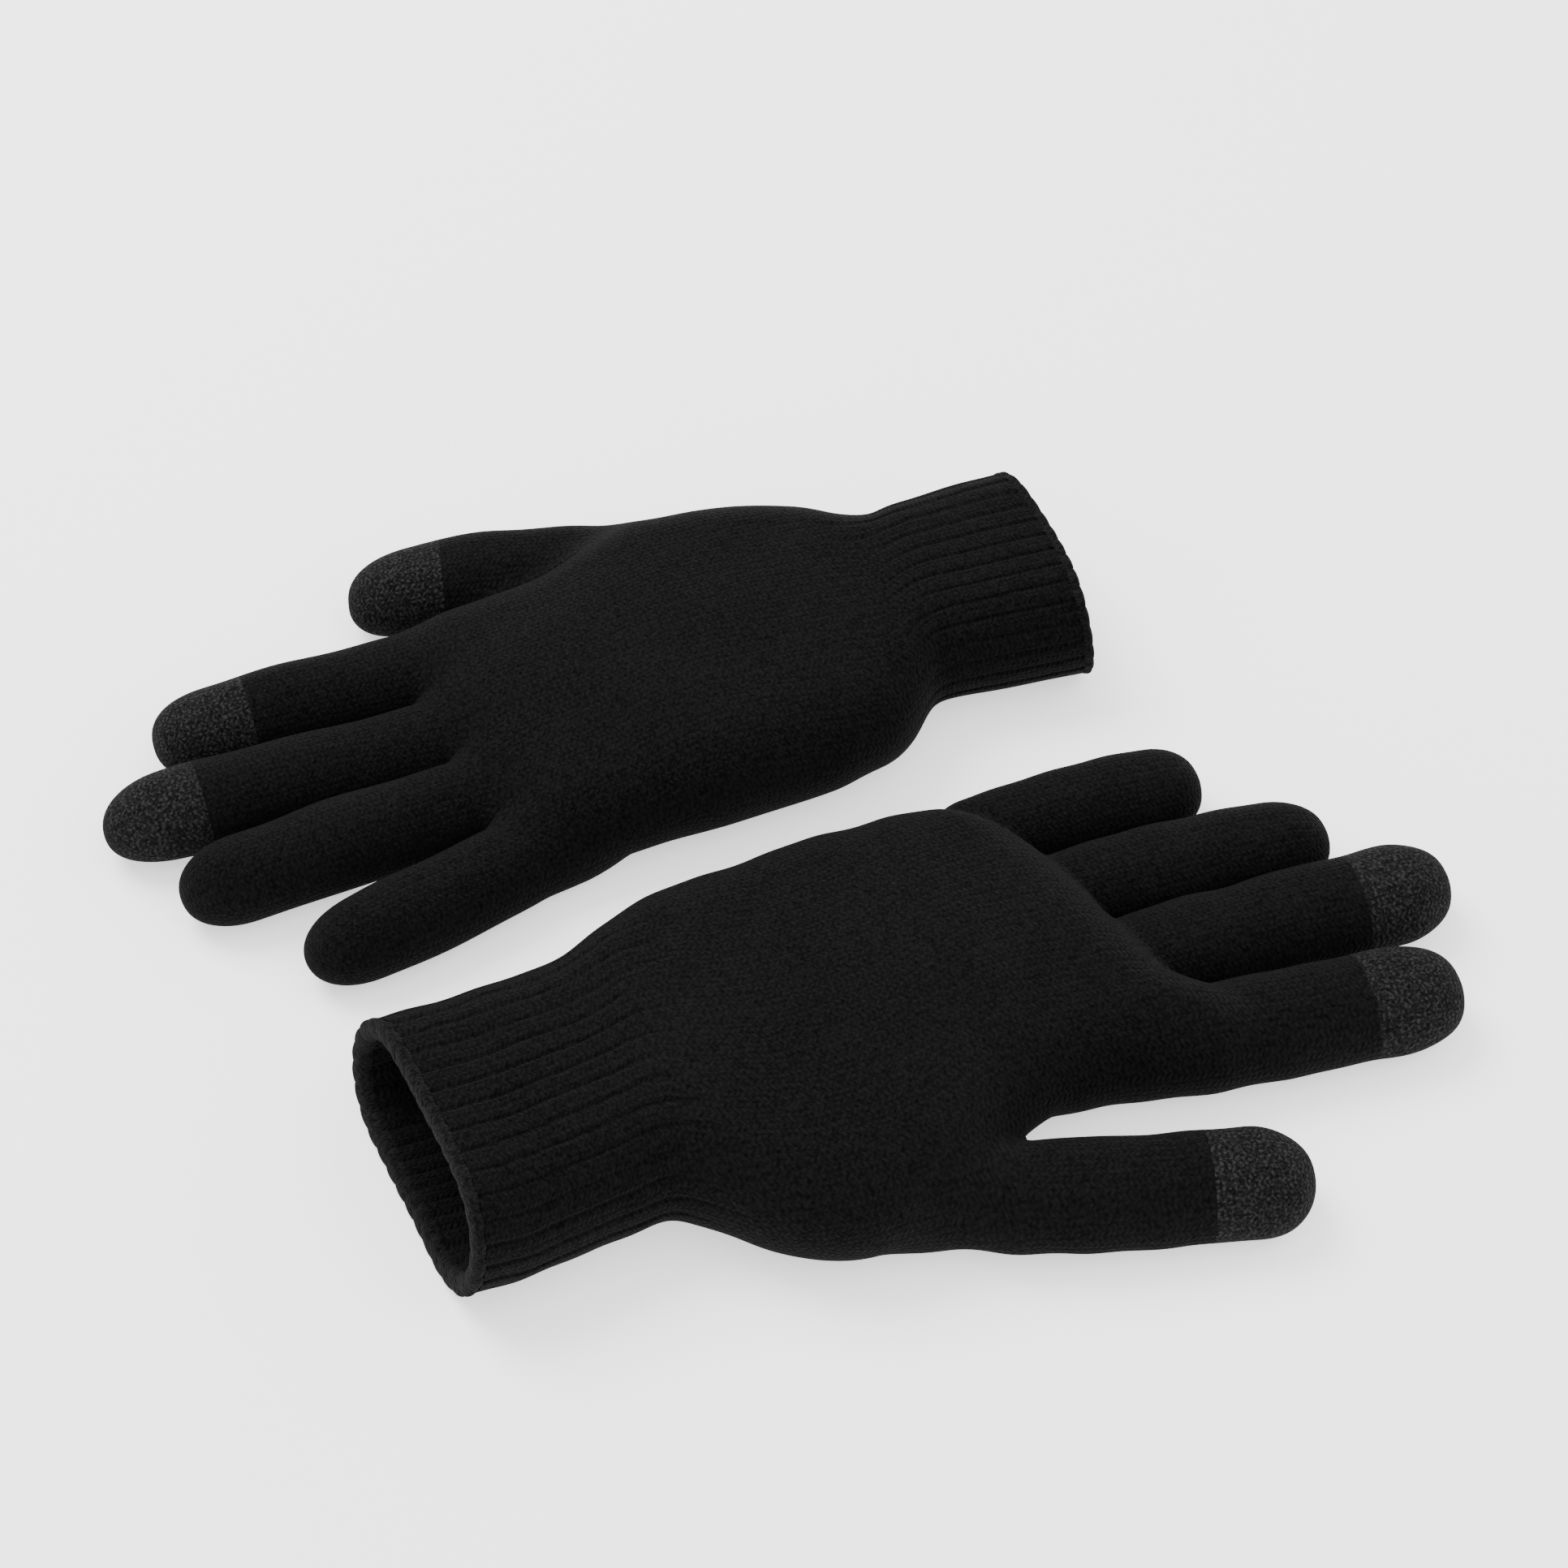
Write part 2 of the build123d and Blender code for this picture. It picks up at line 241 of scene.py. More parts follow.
LEFT = {
    "side": "left",
    "ribs": 30,
    "lean": (3.0, 0.8, -2.0, 3.0),
    "tips": 1.5,
    "longer": {},
    "seed": 5,
    "soften": 2.2,
    "trunk": [
        (-60, -2.2, 25.0, 28.0, 0.04),
        (-35, -2.2, 25.0, 28.0, 0.04),
        (-26, -2.7, 24.7, 27.5, 0.05),
        (-14, -3.2, 24.0, 27.0, 0.06),
        (-8, -3.2, 23.6, 27.0, 0.07),
        (-2, -1.9, 22.6, 27.0, 0.08),
        (4, 1.0, 28.0, 27.0, 0.10),
        (10, 0.5, 32.6, 27.5, 0.12),
        (16, 0.0, 34.2, 28.0, 0.14),
        (22, 0.1, 35.9, 28.0, 0.15),
        (34, -1.0, 37.6, 27.7, 0.17),
        (46, -1.2, 38.9, 27.2, 0.18),
        (58, 0.8, 36.8, 26.0, 0.19),
        (68, 3.2, 35.3, 24.5, 0.20),
        (78, 3.9, 34.2, 23.2, 0.20),
        (88, 5.2, 34.6, 22.0, 0.20),
        (125, 7.0, 35.0, 19.0, 0.20),
    ],
    "nose": [(-40, 104), (-18, 101), (0, 98), (17, 96), (36, 92), (60, 86)],
    "fingers": {
        "thumb": [
            (-0.8, 1, 6, 12),
            (-0.55, -0.8, 9.0, 15),
            (-0.2, -2.6, 10.5, 16),
            (0, -4.2, 10.2, 16.5),
            (0.35, -4.7, 10.2, 16.5),
            (0.65, -3.5, 9.8, 16),
            (1, -0.8, 9.0, 15.5),
        ],
        "index": [(-0.5, -0.5, 8.5, 13), (0, -1.6, 9.8, 16), (0.5, -1.5, 9.7, 17), (1, -1.2, 9.2, 16)],
        "middle": [(-0.4, -0.3, 8, 13), (0, -0.5, 9.4, 16), (0.5, -1.0, 9.6, 17.5), (1, -1.7, 9.0, 16)],
        "ring": [(-0.4, -0.5, 8, 13), (0, -0.8, 9.4, 16), (0.5, -1.6, 9.5, 17.5), (1, -2.5, 8.8, 16)],
        "little": [
            (-0.5, -1.5, 6, 12),
            (-0.3, -1.5, 7.6, 14),
            (0, -1.2, 9.2, 15.5),
            (0.5, -1.8, 9.3, 16.5),
            (1, -2.6, 8.2, 15.5),
        ],
    },
    "joins": {"thumb": 6, "index": 8, "middle": 8, "ring": 8, "little": 8},
}
FOUR = ("index", "middle", "ring", "little")
TOUCH = ("thumb", "index", "middle")


class Track:
    """Values along a line, read between rows and softened so that no row shows as a crease."""

    def __init__(self, rows, soften):
        rows = np.array(rows, float)
        self.at = np.arange(rows[0, 0] - TRACK_PAST, rows[-1, 0] + TRACK_PAST, TRACK_STEP)
        reach = np.arange(-3 * soften, 3 * soften + 0.1, TRACK_STEP)
        kernel = np.exp(-0.5 * (reach / soften) ** 2)
        kernel /= kernel.sum()
        self.columns = []
        for column in rows[:, 1:].T:
            line = np.interp(self.at, rows[:, 0], column)
            padded = np.pad(line, len(reach) // 2, mode="edge")
            self.columns.append(np.convolve(padded, kernel, mode="valid")[: len(self.at)])

    def read(self, place):
        """The row's values at a place, or at many."""
        return [np.interp(place, self.at, column) for column in self.columns]


def smooth_min(a, b, reach):
    """The lower of two fields, rounded where they are within reach of each other."""
    share = np.maximum(reach - np.abs(a - b), 0) / reach
    return np.minimum(a, b) - share * share * reach / 4


def pillow(q, z, half, tall, dome):
    """Distance to a soft section that lies on z = 0, thinner towards its sides."""
    out = np.minimum(np.abs(q) / np.maximum(half, 0.01), 1)
    b = tall / 2 * (1 - dome * out * out)
    side = np.maximum(np.abs(q) - np.maximum(half - b, 0), 0)
    return np.hypot(side, z - b) - b


def side_radius(tall, dome):
    """Radius of a soft section's round sides, used to measure the way round it."""
    return tall / 2 * (1 - 0.5 * dome)


class Finger:
    """One finger's line, taken from its two folds and its last node's box, and its soft profile."""

    def __init__(self, glove, name):
        side = glove.side
        self.name = name
        root = glove.local(JOINTS[f"{side}_{name}_root_fold"]["pos_m"])
        knuckle = glove.local(JOINTS[f"{side}_{name}_knuckle_fold"]["pos_m"])
        self.root = root[:2]
        self.fold = float(np.hypot(*(knuckle - root)[:2]))
        self.way = (knuckle - root)[:2] / self.fold
        self.across = np.array([-self.way[1], self.way[0]])
        rows = glove.plan["fingers"][name]
        end_half = rows[-1][2]
        self.tip_round = end_half * glove.plan["tips"]
        last = f"{side}_{name}_touch_cap" if name in TOUCH else f"{side}_{name}_outer_tube"
        far = max(glove.local(corner)[0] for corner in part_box(last))
        self.length = (far - self.root[0] - end_half) / self.way[0] + end_half
        self.length += glove.plan["longer"].get(name, 0)
        self.start = rows[0][0] * self.length
        self.track = Track([(row[0] * self.length, *row[1:]) for row in rows], FINGER_SOFTEN)
        self.join = glove.plan["joins"][name]

    def split(self, x, y):
        """Distance along and across the finger's line."""
        dx, dy = x - self.root[0], y - self.root[1]
        return dx * self.way[0] + dy * self.way[1], dx * self.across[0] + dy * self.across[1]

    def tip(self, s):
        """How far into the tip's rounding s lies, from 0 to 1, and how full the section still is there."""
        share = np.clip((s - self.length + self.tip_round) / self.tip_round, 0, 1)
        return share, np.maximum(1 - share**TIP_POWER, 0) ** (1 / TIP_POWER)

    def field(self, x, y, z):
        """Distance to the finger's own soft tube."""
        s, q = self.split(x, y)
        shift, half, tall = self.track.read(s)
        tip, full = self.tip(s)
        base = np.clip((self.start + ROOT_ROUND - s) / ROOT_ROUND, 0, 1)
        full = full * np.sqrt(1 - base * base)
        lift = tall * TIP_LIFT * (1 - full) * (tip > 0)
        d = pillow(q - shift, z - lift, half * full, tall * full, FINGER_DOME)
        past = np.maximum(s - self.length, 0) + np.maximum(self.start - s, 0)
        return np.where(past > 0, np.hypot(np.maximum(d, 0), past) + OUTSIDE, d)


class Glove:
    """One glove: its frame on the table, its field and its rows of knit."""

    def __init__(self, plan):
        self.plan = plan
        self.side = plan["side"]
        wrist = JOINTS[f"{self.side}_wrist_fold"]
        self.origin = np.array(wrist["pos_m"][:2]) / MM
        across = np.array(wrist["axis"][:2])
        self.turn = np.array([[across[1], -across[0]], [across[0], across[1]]])
        self.cuff_end = min(self.local(c)[0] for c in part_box(f"{self.side}_cuff_hem"))
        self.trunk_track = Track(plan["trunk"], plan["soften"])
        self.nose_track = Track(plan["nose"], NOSE_SOFTEN)
        self.fingers = {name: Finger(self, name) for name in plan["fingers"]}
        draws = np.random.default_rng(plan["seed"])
        self.waves = draws.normal(size=(SAG_WAVES, 3)) * (2 * pi / SAG_LENGTH)
        self.waves[:, 2] *= SAG_UPRIGHT
        self.phases = draws.uniform(0, 2 * pi, SAG_WAVES)

    def local(self, point):
        """A point of the row frame, in metres, in this glove's frame, in millimetres."""
        p = np.array(point, float) / MM
        flat = self.turn @ (p[:2] - self.origin)
        return np.array([flat[0], flat[1], p[2]])

    def world(self, points):
        """Points of this glove's frame in the row frame, in metres."""
        flat = points[:, :2] @ self.turn + self.origin
        return np.column_stack([flat, points[:, 2]]) * MM

    def spot(self, x, y):
        """A point on the table under this glove, in the row frame, in metres."""
        return tuple(self.world(np.array([[x, y, 0.0]]))[0])

    def world_ways(self, ways):
        """Directions of this glove's frame in the row frame."""
        return np.column_stack([ways[:, :2] @ self.turn, ways[:, 2]])

    def arc(self, x, y, z):
        """Distance round the trunk from the middle of its top, and the whole way round."""
        middle, half, tall, dome = self.trunk_track.read(x)
        b = side_radius(tall, dome)
        q = y - middle
        flat = np.maximum(half - b, 0.1)
        angle = np.arctan2(np.maximum(np.abs(q) - flat, 0), z - b)
        low = (np.abs(q) < flat) & (z < b)
        round_side = np.where(np.abs(q) < flat, np.abs(q), flat + b * angle)
        u = np.where(low, flat + pi * b + flat - np.abs(q), round_side)
        return np.sign(q) * u, 4 * flat + 2 * pi * b

    def ribs(self, x, y, z):
        """Height of the ribs, which fade into the hand in pleats of uneven length."""
        u, total = self.arc(x, y, z)
        phase = self.plan["ribs"] * (u / total + 0.5)
        groove = np.exp(-(((phase % 1 - 0.5) * RIB_PITCH / RIB_GROOVE) ** 2))
        reach = PLEAT_REACH
        for size, rate, start in PLEAT_WAVES:
            reach = reach + size * np.sin(rate * phase + start)
        fade = np.clip(1 - (x + RIB_FADE) / (reach + RIB_FADE), 0, 1)
        return -RIB_HEIGHT * groove * fade * fade * (3 - 2 * fade)

    def sag(self, x, y, z):
        """The knit's slow unevenness, as a change of the field."""
        total = 0
        for wave, phase in zip(self.waves, self.phases):
            total = total + np.sin(wave[0] * x + wave[1] * y + wave[2] * z + phase)
        return SAG * total / sqrt(SAG_WAVES)

    def trunk(self, x, y, z, ribbed=True):
        """Distance to the cuff and the palm in one soft tube, which rounds down to the fingers at its end."""
        middle, half, tall, dome = self.trunk_track.read(x)
        end = self.nose_track.read(y)[0]
        t = np.clip((x - end + NOSE) / NOSE, 0, 1)
        half = half * (1 - NOSE_NARROWS * t * t)
        d = pillow(y - middle, z, half, tall * np.sqrt(np.maximum(1 - t * t, 0)), dome)
        past = np.maximum(x - end, 0)
        d = np.where(past > 0, np.hypot(np.maximum(d, 0), past) + OUTSIDE, d)
        return d - self.ribs(x, y, z) if ribbed else d

    def walls(self, name, x, y):
        """Positive on the far side of the planes between one of the four fingers and its neighbours."""
        q = self.fingers[name].split(x, y)[1]
        place = FOUR.index(name)
        low = -q - OPEN_SIDE if name == FOUR[0] else -self.between(place - 1, x, y)
        high = q - OPEN_SIDE if name == FOUR[-1] else self.between(place, x, y)
        return np.maximum(low, high)

    def between(self, place, x, y):
        """Distance past the line half way between two of the four fingers."""
        a, b = self.fingers[FOUR[place]], self.fingers[FOUR[place + 1]]
        middle = (a.root + b.root) / 2
        way = a.way + b.way
        way = way / np.hypot(*way)
        return (y - middle[1]) * way[0] - (x - middle[0]) * way[1]

    def one(self, name, x, y, z):
        """The hand with one finger alone."""
        finger = self.fingers[name]
        d = smooth_min(self.trunk(x, y, z), finger.field(x, y, z), finger.join)
        return np.maximum(d - self.sag(x, y, z), -z)

    def alone(self, name, x, y, z):
        """One finger's own tube, closed towards its neighbours. The thumb's is closed inside the palm."""
        if name == "thumb":
            finger = self.fingers[name]
            return np.maximum(self.one(name, x, y, z), finger.field(x, y, z) - THUMB_SEAM * finger.join)
        return np.maximum(self.one(name, x, y, z), self.walls(name, x, y) - OVERLAP)

    def whole(self, x, y, z):
        """The hand with its four fingers and a stub of its thumb."""
        trunk = self.trunk(x, y, z)
        d = trunk
        for name, finger in self.fingers.items():
            own = finger.field(x, y, z)
            if name == "thumb":
                own = np.maximum(own, finger.split(x, y)[0] + BLEND_BACK - STUB)
            d = np.minimum(d, smooth_min(trunk, own, finger.join))
        return np.maximum(d - self.sag(x, y, z), -z)

    def lining(self, x, y, z):
        """The cuff's soft section without ribs."""
        return np.maximum(self.trunk(x, y, z, ribbed=False) - self.sag(x, y, z), -z)

    def past_cuts(self, x, y):
        """Positive where the skin belongs to one of the four fingers or to the cuff, not to the hand."""
        past = CUFF_JOIN - x
        for name in FOUR:
            s = self.fingers[name].split(x, y)[0]
            past = np.maximum(past, np.minimum(s + BLEND_BACK, -self.walls(name, x, y)))
        return past - OVERLAP


def slopes(field, points, step=0.12):
    """Unit normals of a field at points, and the size of its slope there."""
    ways = []
    for axis in range(3):
        nudge = np.zeros(3)
        nudge[axis] = step
        ways.append(field(*(points + nudge).T) - field(*(points - nudge).T))
    slope = np.stack(ways, 1) / (2 * step)
    size = np.maximum(np.linalg.norm(slope, axis=1, keepdims=True), 1e-6)
    return slope / size, size[:, 0]


def surface_net(values, low, step):
    """Quads on the zero surface of a grid of values: one point in each cell that the surface crosses."""

    def beside(axis, places, du, dv):
        """The cells on one of the four sides of grid edges along an axis."""
        u, v = [n for n in range(3) if n != axis]
        cells = np.stack(places, 1)
        cells[:, u] -= du
        cells[:, v] -= dv
        return cells

    nx, ny, nz = (n - 1 for n in values.shape)
    total = np.zeros((nx, ny, nz, 3))
    count = np.zeros((nx, ny, nz))
    inside = values < 0
    edges = []
    for axis in range(3):
        first = [slice(None)] * 3
        second = [slice(None)] * 3
        first[axis], second[axis] = slice(0, -1), slice(1, None)
        a, b = values[tuple(first)], values[tuple(second)]
        cross = inside[tuple(first)] != inside[tuple(second)]
        i, j, k = np.nonzero(cross)
        t = a[i, j, k] / (a[i, j, k] - b[i, j, k])
        spot = np.stack([i, j, k], 1).astype(float)
        spot[:, axis] += t
        edges.append((axis, i, j, k, inside[tuple(first)][i, j, k]))
        for du, dv in ((0, 0), (0, 1), (1, 0), (1, 1)):
            cells = beside(axis, (i, j, k), du, dv)
            good = ((cells >= 0) & (cells < (nx, ny, nz))).all(1)
            crossed = tuple(cells[good].T)
            np.add.at(total, crossed, spot[good])
            np.add.at(count, crossed, 1)
    used = count > 0
    number = np.full(count.shape, -1)
    number[used] = np.arange(used.sum())
    points = total[used] / count[used][:, None] * step + low
    quads = []
    for axis, i, j, k, was_inside in edges:
        turns = ((1, 1), (0, 1), (0, 0), (1, 0))
        cells = np.stack([beside(axis, (i, j, k), du, dv) for du, dv in turns], 1)
        good = ((cells >= 0) & (cells < (nx, ny, nz))).all((1, 2))
        cells, flip = cells[good], was_inside[good]
        quad = number[cells[..., 0], cells[..., 1], cells[..., 2]]
        if axis == 1:
            flip = ~flip
        quad[~flip] = quad[~flip][:, ::-1]
        quads.append(quad)
    return points, np.concatenate(quads)


def clip(points, quads, past):
    """Triangles of the mesh where past is negative, cut along its zero line."""
    triangles = np.concatenate([quads[:, [0, 1, 2]], quads[:, [0, 2, 3]]])
    keep = (past[triangles] < 0).sum(1)
    done = [triangles[keep == 3]]
    made, extra = {}, []

    def cut(a, b):
        key = (min(a, b), max(a, b))
        if key not in made:
            t = past[key[0]] / (past[key[0]] - past[key[1]])
            extra.append(points[key[0]] * (1 - t) + points[key[1]] * t)
            made[key] = len(points) + len(extra) - 1
        return made[key]

    for triangle in triangles[(keep == 1) | (keep == 2)]:
        kept = [past[n] < 0 for n in triangle]
        lone = kept.index(True) if sum(kept) == 1 else kept.index(False)
        a, b, c = (int(triangle[(lone + n) % 3]) for n in range(3))
        ab, ac = cut(a, b), cut(a, c)
        done.append([[a, ab, ac]] if sum(kept) == 1 else [[ab, b, c], [ab, c, ac]])
    everything = np.concatenate([np.array(rows).reshape(-1, 3) for rows in done])
    points = np.concatenate([points, np.array(extra)])
    used, renamed = np.unique(everything, return_inverse=True)
    return points[used], renamed.reshape(-1, 3)


def march(field, centres, ways, level, far):
    """Where rays from inside the field reach a level, closed in on by halving."""
    near, away = np.zeros(len(centres)), np.full(len(centres), far)
    for _ in range(HALVINGS):
        middle = (near + away) / 2
        inside = field(*(centres + ways * middle[:, None]).T) < level
        near = np.where(inside, middle, near)
        away = np.where(inside, away, middle)
    return centres + ways * near[:, None]


def stitches(u, v):
    """The knit's own coordinates of points: u across its columns and v along them."""
    return np.column_stack([u, v, np.zeros(len(u))])


def ring_faces(rings, count):
    """Quads between rings of count points each."""
    ring, place = np.meshgrid(np.arange(rings - 1), np.arange(count), indexing="ij")
    a = ring * count + place
    b = ring * count + (place + 1) % count
    return np.stack([a, b, b + count, a + count], -1).reshape(-1, 4)


def make_piece(name, glove, points, faces, normals, stitch, material, slot):
    """A mesh object in the row frame, which keeps the knit's own coordinates as its stitch attribute."""
    mesh = bpy.data.meshes.new(name)
    mesh.from_pydata(glove.world(points).tolist(), [], [list(map(int, face)) for face in faces])
    mesh.polygons.foreach_set("use_smooth", [True] * len(mesh.polygons))
    attribute = mesh.attributes.new("stitch", "FLOAT_VECTOR", "POINT")
    attribute.data.foreach_set("vector", np.asarray(stitch, np.float32).ravel())
    if normals is not None:
        mesh.normals_split_custom_set_from_vertices(glove.world_ways(normals).tolist())
    mesh.materials.append(material)
    piece = bpy.data.objects.new(name, mesh)
    bpy.context.scene.collection.objects.link(piece)
    return piece


def make_hand(glove, material):
    """The hand between the wrist and the finger roots."""
    low = np.array([CUFF_JOIN - 2 * GRID_STEP, -GRID_FAR[1], -2 * GRID_STEP])
    axes = [np.arange(a, b, GRID_STEP) for a, b in zip(low, GRID_FAR)]
    x, y, z = np.meshgrid(*axes, indexing="ij")
    points, quads = surface_net(glove.whole(x, y, z), low, GRID_STEP)
    for _ in range(SETTLE_ROUNDS):
        normals, size = slopes(glove.whole, points)
        step = glove.whole(*points.T) / size
        points = points - normals * np.clip(step, -SETTLE_STEP, SETTLE_STEP)[:, None]
    points, faces = clip(points, quads, glove.past_cuts(points[:, 0], points[:, 1]))
    normals, _ = slopes(glove.whole, points)
    u, total = glove.arc(*points.T)
    quarter = total / 4
    u = quarter - np.abs(np.abs(u) - quarter)
    stitch = stitches(u + HAND_START, points[:, 0])
    piece = make_piece(f"{glove.side}_hand_knit", glove, points, faces, normals, stitch, material, "knit")
    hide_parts(f"{glove.side}_hand_shell")
    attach(piece, f"{glove.side}_hand")


def finger_rings(glove, finger, start, end=None):
    """One finger's skin from start to end, or closed over its tip: points, faces, normals and stitches."""

    def field(x, y, z):
        return glove.alone(finger.name, x, y, z)

    closed = end is None
    straight = finger.length - finger.tip_round if closed else end
    places = list(np.linspace(start, straight, max(2, ceil((straight - start) / RING_STEP))))
    if closed:
        turns = np.linspace(0, pi / 2, TIP_RINGS)[1:-1]
        places += [straight + finger.tip_round * sin(turn) for turn in turns]
        places.append(finger.length - POLE_STEP)
    angles = np.linspace(0, 2 * pi, ROUND_COUNT, endpoint=False)
    centres, ways, u, v = [], [], [], []
    for place in places:
        shift, _, tall = finger.track.read(place)
        tip, full = finger.tip(place)
        height = tall * full / 2 + tall * TIP_LIFT * (1 - full) * (tip > 0)
        base = finger.root + finger.way * place + finger.across * shift
        for angle in angles:
            centres.append((base[0], base[1], height))
            ways.append((*(finger.across * sin(angle)), cos(angle)))
            folded = angle if angle <= pi else 2 * pi - angle
            u.append(folded * FINGER_ROUND + FINGER_START)
            v.append(place)
    points = march(field, np.array(centres), np.array(ways), 0.0, FINGER_REACH)
    faces = ring_faces(len(places), ROUND_COUNT)[:, ::-1]
    stitch = stitches(u, v)
    if closed:
        grid = points.reshape(len(places), ROUND_COUNT, 3)
        steps = np.linalg.norm(np.diff(grid, axis=0), axis=2)
        travelled = np.concatenate([np.zeros((1, ROUND_COUNT)), np.cumsum(steps, 0)])
        stitch[:, 1] = (places[0] + travelled).ravel()
        last = (len(places) - 1) * ROUND_COUNT
        pole = grid[-1].mean(0) + np.array([*finger.way, 0]) * POLE_STEP
        points = np.vstack([points, pole])
        stitch = np.vstack([stitch, stitch[-1]])
        fan = [[last + (n + 1) % ROUND_COUNT, last + n, len(points) - 1] for n in range(ROUND_COUNT)]
        faces = [list(face) for face in faces] + fan
    normals, _ = slopes(field, points)
    if closed:
        normals[-1] = (*finger.way, 0)
    return points, faces, normals, stitch


def make_finger(glove, finger, plain, touch):
    """The finger's root, its outer part and, where it has one, its touch tip."""
    side, name = glove.side, finger.name
    middle = finger.fold / 2
    reach = FOLD_SPREAD * finger.fold
    border = finger.length - TOUCH_LENGTH
    stem = f"{side}_{name}"
    has_touch = name in TOUCH

    def place(s):
        return glove.spot(*(finger.root + finger.way * s))

    parts = finger_rings(glove, finger, -BLEND_BACK, middle)
    root = make_piece(f"{stem}_root_knit", glove, *parts, plain, "knit")
    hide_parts(f"{stem}_root_tube")
    place(-BLEND_BACK)
    place(reach)
    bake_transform(root)

    parts = finger_rings(glove, finger, middle, border if has_touch else None)
    outer = make_piece(f"{stem}_outer_knit", glove, *parts, plain, "knit")
    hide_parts(f"{stem}_outer_tube")
    place(finger.fold - reach)
    place(finger.fold + reach)
    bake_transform(outer)

    if has_touch:
        parts = finger_rings(glove, finger, border)
        tip = make_piece(f"{stem}_touch_tip", glove, *parts, touch, "touch_knit")
        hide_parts(f"{stem}_touch_cap")
        if border < finger.fold + reach:
            place(finger.fold - reach)
            place(finger.fold + reach)
            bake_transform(tip)
        else:
            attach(tip, f"{stem}_outer")


def ribs_round(glove):
    """For each point round the cuff, its place counted in ribs and its height on its rib, from 0 to 1."""
    phase = np.arange(glove.plan["ribs"] * RIB_POINTS) / RIB_POINTS
    return phase, np.abs(np.sin(pi * phase)) ** RIB_ROUND


def cuff_rays(glove, x):
    """Rays from the middle of the cuff's section at x, evenly spaced round it: centres and directions."""
    middle, half, tall, dome = (float(v) for v in glove.trunk_track.read(x))
    b = side_radius(tall, dome)
    flat = half - b
    total = 4 * flat + 2 * pi * b
    count = glove.plan["ribs"] * RIB_POINTS
    ways = []
    for n in range(count):
        u = (n / count - 0.5) * total
        out = abs(u)
        if out < flat:
            q, z = out, b
        elif out < flat + pi * b:
            angle = (out - flat) / b
            q, z = flat + b * sin(angle), b * cos(angle)
        else:
            q, z = 2 * flat + pi * b - out, -b
        size = np.hypot(q, z)
        ways.append((0.0, q / size * (1 if u > 0 else -1), z / size))
    return np.array([[x, middle, b]] * count), np.array(ways)


def lean(glove, points):
    """The cuff's points, leant back at the top and skewed across, more so from the wrist to the mouth."""
    top, whole, skew, bow = glove.plan["lean"]
    share = np.clip(points[:, 0] / glove.cuff_end, 0, 1)
    across = (points[:, 1] - glove.trunk_track.read(points[:, 0])[0]) / CUFF_SIZE
    moved = points.copy()
    moved[:, 0] += share * (top * points[:, 2] / CUFF_SIZE + whole + skew * across + bow * across**2)
    moved[:, 2] = np.maximum(moved[:, 2], 0)
    return moved


def cuff_tube(glove, places, level, field):
    """Rings of points round the cuff at places, on a level of the field, and their stitches."""
    phase, _ = ribs_round(glove)
    rings, knit = [], []
    for x in places:
        rings.append(march(field, *cuff_rays(glove, x), level, CUFF_REACH))
        knit.append(stitches(phase * 2 * WALE, np.full(len(phase), x)))
    return rings, np.concatenate(knit)


def cuff_rim(glove, mouth):
    """Rings of points over the rolled edge, from the outside to the inside, and their stitches."""
    phase, ridge = ribs_round(glove)
    centres, ways = cuff_rays(glove, mouth)
    rings, knit = [], []
    for turn in np.linspace(0, pi, RIM_RINGS):
        swell = CUFF_WALL / 2 + RIM_SWELL * sin(turn)
        level = -CUFF_WALL / 2 + swell * cos(turn) + RIM_LIFT * sin(turn)
        outside = -RIM_GROOVES[0] * (1 - ridge) * (1 + cos(turn)) / 2
        inside = RIM_GROOVES[1] * (1 - ridge) * (1 - cos(turn)) / 2
        ring = march(glove.lining, centres, ways, level + (outside + inside), CUFF_REACH)
        ring[:, 0] -= RIM_ROLL * sin(turn) ** 0.8 * (1 - RIM_UNEVEN + RIM_UNEVEN * ridge)
        rings.append(ring)
        knit.append(stitches(phase * 2 * WALE, np.full(len(phase), turn * RIM_STITCH)))
    return rings, np.concatenate(knit)


def make_cuff(glove, material, edge):
    """The ribbed cuff, doubled to its inside, and the rolled edge at its mouth."""
    side = glove.side
    _, ridge = ribs_round(glove)
    mouth = glove.cuff_end + MOUTH_BACK
    places = list(np.arange(CUFF_JOIN, mouth, -CUFF_STEP)) + [mouth]

    def piece_of(name, rings, stitch, normals, look, slot):
        points = np.concatenate([lean(glove, ring) for ring in rings])
        faces = ring_faces(len(rings), len(ridge))
        return make_piece(f"{side}_{name}", glove, points, faces, normals, stitch, look, slot)

    def place(x):
        return glove.spot(x, 0.0)

    rings, stitch = cuff_tube(glove, places, 0.0, glove.whole)
    normals, _ = slopes(glove.whole, np.concatenate(rings))
    piece = piece_of("cuff_ribs", rings, stitch, normals, material, "rib_knit")
    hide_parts(f"{side}_cuff")

    lining = -CUFF_WALL + LINING_GROOVE * (1 - ridge)
    rings, stitch = cuff_tube(glove, places[::-1], lining, glove.lining)
    inside = piece_of("cuff_inside", rings, stitch, None, material, "rib_knit")

    rings, stitch = cuff_rim(glove, mouth)
    rim_piece = piece_of("cuff_edge", rings, stitch, None, edge, "overlock")
    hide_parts(f"{side}_cuff_hem")

    for part in (piece, inside):
        place(WRIST_SPREAD)
        place(-WRIST_SPREAD)
        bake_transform(part)
    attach(rim_piece, f"{side}_wrist")


